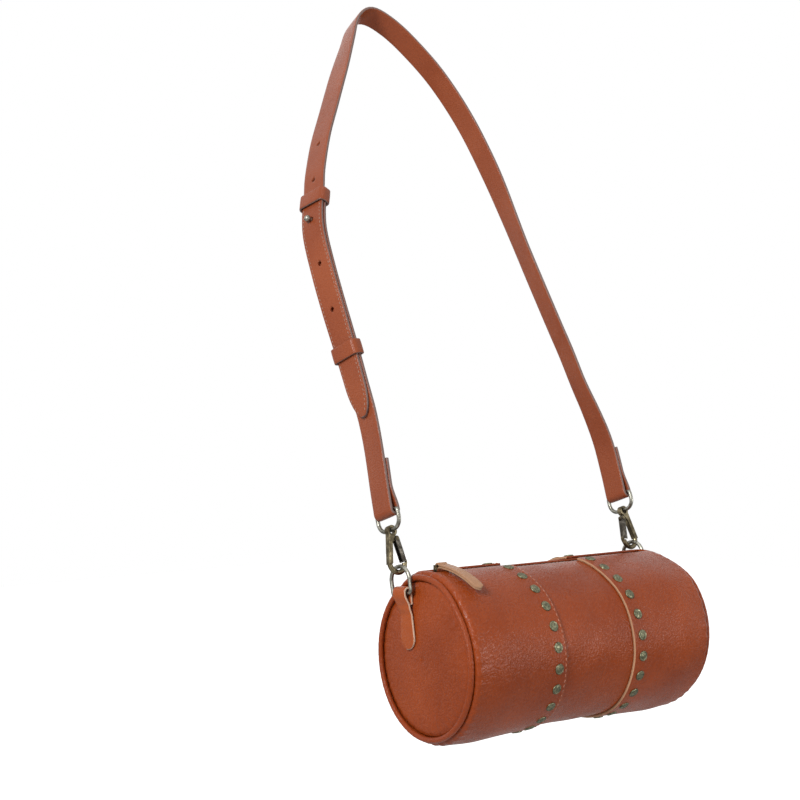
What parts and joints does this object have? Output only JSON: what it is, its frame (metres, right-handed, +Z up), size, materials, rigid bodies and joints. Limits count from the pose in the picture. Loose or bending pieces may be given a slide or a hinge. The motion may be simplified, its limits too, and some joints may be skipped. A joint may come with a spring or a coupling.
{
  "type": "barrel crossbody bag",
  "caption": "Leather barrel bag with a riveted centre panel, zip opening and an adjustable crossbody strap on snap hooks.",
  "frame": {"origin": "underside of the strap at the top of the wearer's shoulder", "axes": "+Z up, +X along the barrel from its zipped-shut end, +Y towards the wearer, -Y outward"},
  "size_m": [0.2757, 0.3104, 0.6154],
  "materials": {
    "body_leather": "pebbled, waxed",
    "strap_leather": "pebbled, waxed",
    "piping_leather": "smooth, waxed",
    "lining": "woven",
    "zip_tape": "woven",
    "zip_metal": "antiqued",
    "antique_brass": "antiqued, worn bright on the edges"
  },
  "bodies": {
    "strap": {"long_strap": "strap_leather", "short_strap": "strap_leather", "strap_stud": "antique_brass"},
    "bag": {"left_panel": "body_leather", "centre_panel": "body_leather", "right_panel": "body_leather", "left_end_disc": "body_leather", "right_end_disc": "body_leather", "left_piping": "piping_leather", "right_piping": "piping_leather", "lining_barrel": "lining", "left_lining_end": "lining", "right_lining_end": "lining", "front_zip_tape": "zip_tape", "back_zip_tape": "zip_tape", "front_zip_teeth": "zip_metal", "back_zip_teeth": "zip_metal", "zip_stops": "zip_metal", "left_rivets": "antique_brass", "right_rivets": "antique_brass", "left_tab": "strap_leather", "right_tab": "strap_leather"},
    "zip_slider": {"zip_slider": "zip_metal"},
    "zip_pull": {"zip_pull": "strap_leather"},
    "upper_keeper": {"upper_keeper": "strap_leather"},
    "lower_keeper": {"lower_keeper": "strap_leather"},
    "left_tab_ring": {"left_tab_ring": "antique_brass"},
    "left_strap_ring": {"left_strap_ring": "antique_brass"},
    "left_hook": {"left_hook": "antique_brass", "left_gate_pin": "antique_brass"},
    "left_gate": {"left_gate": "antique_brass", "left_gate_spring": "antique_brass"},
    "right_tab_ring": {"right_tab_ring": "antique_brass"},
    "right_strap_ring": {"right_strap_ring": "antique_brass"},
    "right_hook": {"right_hook": "antique_brass", "right_gate_pin": "antique_brass"},
    "right_gate": {"right_gate": "antique_brass", "right_gate_spring": "antique_brass"}
  },
  "joints": [
    {"name": "bag_swing", "type": "hinge", "parent": "strap", "child": "bag", "pos_m": [0, -0.20937, -0.47896], "axis": [-1, -0.0028, -0.0082], "range_deg": [0, 40]},
    {"name": "zip_slide", "type": "slide", "parent": "bag", "child": "zip_slider", "axis": [1, 0, 0], "range_m": [0, 0.211]},
    {"name": "pull_flip", "type": "hinge", "parent": "zip_slider", "child": "zip_pull", "pos_m": [-0.1057, -0.23414, -0.47428], "axis": [-1, 0, 0], "range_deg": [0, 150]},
    {"name": "left_tab_ring_tilt", "type": "hinge", "parent": "bag", "child": "left_tab_ring", "pos_m": [-0.1268, -0.21414, -0.49568], "axis": [0, -0.9703, 0.2419], "range_deg": [-3, 3]},
    {"name": "left_strap_ring_tilt", "type": "hinge", "parent": "strap", "child": "left_strap_ring", "pos_m": [-0.1268, -0.195, -0.436], "axis": [0, -0.9483, 0.3173], "range_deg": [-8, 8]},
    {"name": "left_hook_tilt", "type": "hinge", "parent": "left_strap_ring", "child": "left_hook", "pos_m": [-0.1268, -0.19944, -0.44928], "axis": [0, -0.9483, 0.3173], "range_deg": [-12, 12]},
    {"name": "left_gate_press", "type": "hinge", "parent": "left_hook", "child": "left_gate", "pos_m": [-0.1236, -0.20157, -0.45563], "axis": [0, 0.9483, -0.3173], "range_deg": [0, 25], "stiffness_Nm_per_rad": 0.01, "springref_deg": -20.05},
    {"name": "right_tab_ring_tilt", "type": "hinge", "parent": "bag", "child": "right_tab_ring", "pos_m": [0.1268, -0.21344, -0.49359], "axis": [0, -0.9703, 0.2419], "range_deg": [-3, 3]},
    {"name": "right_strap_ring_tilt", "type": "hinge", "parent": "strap", "child": "right_strap_ring", "pos_m": [0.1268, -0.1943, -0.43391], "axis": [0, -0.9483, 0.3173], "range_deg": [-8, 8]},
    {"name": "right_hook_tilt", "type": "hinge", "parent": "right_strap_ring", "child": "right_hook", "pos_m": [0.1268, -0.19874, -0.44719], "axis": [0, -0.9483, 0.3173], "range_deg": [-12, 12]},
    {"name": "right_gate_press", "type": "hinge", "parent": "right_hook", "child": "right_gate", "pos_m": [0.1236, -0.20087, -0.45354], "axis": [0, -0.9483, 0.3173], "range_deg": [0, 25], "stiffness_Nm_per_rad": 0.01, "springref_deg": -20.05},
    {"name": "upper_keeper_slide", "type": "slide", "parent": "strap", "child": "upper_keeper", "axis": [0.3666, 0.3899, 0.8447], "range_m": [-0.003, 0.004]},
    {"name": "lower_keeper_slide", "type": "slide", "parent": "strap", "child": "lower_keeper", "axis": [-0.0663, 0.3694, 0.9269], "range_m": [-0.005, 0.006]}
  ],
  "couplings": [
    {"joint": "left_hook_tilt", "follows": "left_strap_ring_tilt", "ratio": -1.4321},
    {"joint": "right_hook_tilt", "follows": "right_strap_ring_tilt", "ratio": -1.4321}
  ]
}
